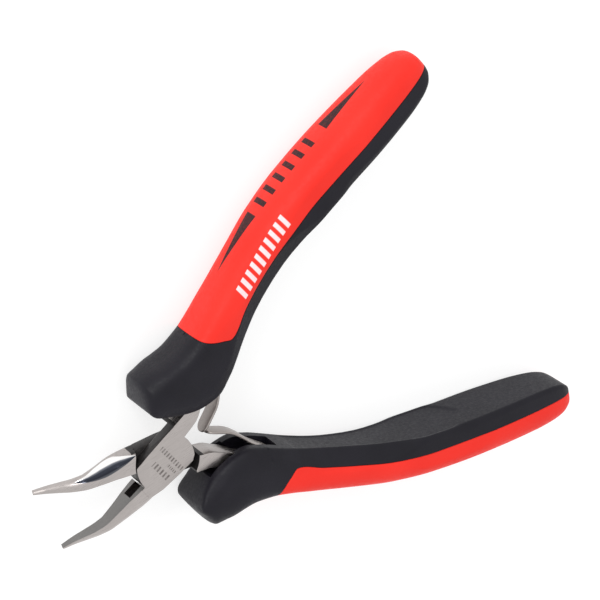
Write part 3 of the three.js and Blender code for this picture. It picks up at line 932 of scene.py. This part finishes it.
def lever(side, suffix):
    """Jaw, neck and joint half in one body, with the recess for the other lever's half."""
    rings, uv = jaw_rings(side)
    body = loft(f"steel_{suffix}", rings, side, uv=uv)
    give(body, STEEL, SCALE_AND_SHADE)
    cut_or_add(body, loft("neck", tang_rings(), side), STEEL, "UNION", EDGE)
    # The recess and the throat's relief cut in the dark steel, which carries painted shade.
    low, high = joint_half(-side, RECESS_REACH, -SLIDE_GAP)
    cut_or_add(body, prism("recess", disc(RECESS_RADIUS), low, high, side), SCALE_AND_SHADE, "DIFFERENCE")
    low, high = joint_half(side, HEAD_HALF, SLIDE_GAP)
    cut_or_add(body, prism("plate", plate_outline(), low, high, side), STEEL, "UNION", EDGE)
    start, end = THROAT["x"]
    deep = -THROAT["depth"]
    notch = rounded([(start, deep), (end, deep), (end, 1), (start, 1)], THROAT["corner"])
    relief = prism("relief", notch, -THROAT["half"], THROAT["half"], side)
    cut_or_add(body, relief, SCALE_AND_SHADE, "DIFFERENCE")
    finish_faces(body, side)
    return body


def finish_faces(body, side):
    """Grip faces, sliding faces and the joint's side walls get their own steel, and each corner
    its place in plan, from where the face lies in the closed lever's frame."""
    mesh = body.data
    was_dark = [m is SCALE_AND_SHADE for m in mesh.materials]
    give(body, MARKED if side > 0 else STEEL, SCALE_AND_SHADE, GRIP)
    plain, dark, grip = range(3)
    plan = mesh.uv_layers.new(name="plan")
    for face in mesh.polygons:
        x, y, z = closed_frame((np.array(face.center) - PIVOT) / MM, side)
        _, ny, nz = closed_frame(face.normal, side)
        on_grip = ny > 0.95 and x < GRIP_FACE_TO and abs(y + GRIP_FACE) < 0.1
        slides = abs(nz) > 0.9 and abs(z) < 0.2 and x > SLIDE_FROM
        near_joint = x > WALL_FROM and math.hypot(x, y) < WALL_REACH and abs(z) < HEAD_HALF
        wall = near_joint and abs(nz) < 0.4
        if on_grip:
            face.material_index = grip
        # Sliding faces, the joint's walls and the cut faces take the dark steel: scale and painted
        # shade between the levers.
        elif slides or wall or was_dark[face.material_index]:
            face.material_index = dark
        else:
            face.material_index = plain
        for loop in face.loop_indices:
            spot = np.array(mesh.vertices[mesh.loops[loop].vertex_index].co)
            px, py, _ = closed_frame((spot - PIVOT) / MM, side)
            plan.data[loop].uv = (px / LAY, py / LAY)


# ---- leaf springs ----
def smooth_spline(knots, values):
    """Smooth curve through the knots."""
    slopes = np.gradient(values, knots)

    def value(s):
        i = min(max(int(np.searchsorted(knots, s, side="right")) - 1, 0), len(knots) - 2)
        h = knots[i + 1] - knots[i]
        u = (s - knots[i]) / h
        return ((2 * u ** 3 - 3 * u ** 2 + 1) * values[i] + (u ** 3 - 2 * u ** 2 + u) * h * slopes[i]
                + (3 * u ** 2 - 2 * u ** 3) * values[i + 1] + (u ** 3 - u ** 2) * h * slopes[i + 1])

    return value


def strip_outline(width, thin):
    """Strip section with rolled edges, as (z, offset) pairs."""
    edge = min(thin * 0.8, width * 0.5)
    outline = []
    for corner_z, corner_a, start in ((1, 1, 0), (-1, 1, 90), (-1, -1, 180), (1, -1, 270)):
        for k in range(4):
            a = math.radians(start + 30 * k)
            outline.append((corner_z * (width - edge) + edge * math.cos(a),
                            corner_a * (thin - edge) + edge * math.sin(a)))
    return outline


def leaf(side, suffix):
    """Bent strip with a rounded tip; it starts inside the handle."""
    control = np.array(LEAF_LINE + LEAF_END[suffix], float)
    back = control[0] - control[1]
    root = control[0] + back / np.linalg.norm(back) * LEAF_ROOT_DEPTH
    control = np.concatenate([[root], control])
    knots = run_length(control)
    curves = [smooth_spline(knots, control[:, k]) for k in (0, 1)]
    total = knots[-1]
    even = np.linspace(0, total - LEAF_TIP, LEAF_RINGS[0])
    crowded = total - LEAF_TIP * (1 - ease(LEAF_RINGS[1], 1.8)[1:])
    rings = []
    uv = []
    for s in np.concatenate([even, crowded]):
        centre = np.array([c(s) for c in curves])
        ahead = np.array([c(min(s + LEAF_STEP, total)) for c in curves])
        behind = np.array([c(max(s - LEAF_STEP, 0)) for c in curves])
        direction = (ahead - behind) / np.linalg.norm(ahead - behind)
        across = np.array([-direction[1], direction[0]])
        left = total - s
        width = LEAF_HALF_WIDTH
        if left < LEAF_HALF_WIDTH:
            round_end = math.sqrt(max(1 - (1 - left / LEAF_HALF_WIDTH) ** 2, 0.0))
            width *= round_end * (1 - LEAF_TIP_LEAST) + LEAF_TIP_LEAST
        outline = strip_outline(width, LEAF_THICKNESS / 2)
        rings.append([[*(centre + across * o), z] for z, o in outline])
        uv += [(s / LAY, z / LAY) for z, o in outline]
    rings = np.array(rings)
    rows, count = rings.shape[:2]
    flat = rings.reshape(-1, 3)
    flat[:, 1] *= side
    made = add_mesh(f"leaf_{suffix}", flat * MM + PIVOT, loft_faces(rows, count), uv)
    give(made, SPRING)
    shade(made, degrees=50)
    return made


for suffix, side in (("a", 1), ("b", -1)):
    core, skin = handle_meshes(side, suffix)
    give(core, BLACK)
    give(skin, RED)
    for outline, radius, half in ((POCKET, POCKET_CORNER, POCKET_HALF),
                                  (NECK_POCKET, NECK_POCKET_CORNER, NECK_POCKET_HALF)):
        hollow = prism("hollow", rounded(outline, radius), -half, half, side)
        give(hollow, BLACK)
        combine(core, hollow, "DIFFERENCE")
    shade(core, degrees=40)
    shade(skin, degrees=50)
    body = lever(side, suffix)
    shade(body, degrees=30)
    owner = f"lever_{suffix}"
    for piece, slot, cad in ((core, "core_plastic", f"handle_core_{suffix}"),
                             (skin, "skin_plastic", f"grip_skin_{suffix}"),
                             (body, "lever_steel", f"lever_{suffix}")):
        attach(piece, owner)
        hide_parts(cad)
    spring = leaf(side, suffix)
    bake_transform(spring)
    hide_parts(f"leaf_spring_{suffix}")

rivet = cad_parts["pivot_rivet"]
give(rivet, STEEL)

# ---- stage, camera and light ----
scene = bpy.context.scene
FLOOR_HALF = 3
corners = [(x * FLOOR_HALF, y * FLOOR_HALF, 0) for x, y in ((-1, -1), (1, -1), (1, 1), (-1, 1))]
floor = add_mesh("floor", corners, [(0, 1, 2, 3)])
paper, tree, shader = new_material("paper")
tone = noise(tree, object_coords(tree), 6, 2)
colour = ramp(tree, tone, (0.3, grey(PAPER_TONES[0])), (0.7, grey(PAPER_TONES[1])))
tree.links.new(colour, shader.inputs["Base Color"])
shader.inputs["Roughness"].default_value = 0.9
shader.inputs["Emission Color"].default_value = (1, 1, 1, 1)
shader.inputs["Emission Strength"].default_value = PAPER_GLOW
shader.inputs["Specular IOR Level"].default_value = 0.1
give(floor, paper)

CAMERA_AT = (-0.16877, 0.37743, 0.61631)
CAMERA_AXES = ((0.799675777, -0.379866351, 0.464994846),
               (-0.547281567, -0.779694419, 0.304235927),
               (0.246984895, -0.497773209, -0.831396593))
right, down, forward = (Vector(v) for v in CAMERA_AXES)
camera = bpy.data.objects.new("camera", bpy.data.cameras.new("camera"))
scene.collection.objects.link(camera)
turn = Matrix((right, -down, -forward)).transposed().to_4x4()
camera.matrix_world = Matrix.Translation(CAMERA_AT) @ turn
camera.data.sensor_width = 36
camera.data.lens = 199.99
camera.data.clip_start, camera.data.clip_end = 0.01, 20
scene.camera = camera


def softbox(name, place_at, look_at, size, power):
    data = bpy.data.lights.new(name, "AREA")
    data.shape = "RECTANGLE"
    data.size, data.size_y = size
    data.energy = power
    made = bpy.data.objects.new(name, data)
    scene.collection.objects.link(made)
    made.location = place_at
    made.rotation_mode = "QUATERNION"
    made.rotation_quaternion = (Vector(look_at) - Vector(place_at)).to_track_quat("-Z", "Y")


softbox("key", (-0.25, 1.0, 0.6), (0, 0, 0), (0.5, 0.5), 5)

world = bpy.data.worlds.new("studio")
world.use_nodes = True
world.node_tree.nodes["Background"].inputs["Color"].default_value = (1, 1, 1, 1)
world.node_tree.nodes["Background"].inputs["Strength"].default_value = 1.0
scene.world = world
scene.view_settings.view_transform = "Standard"
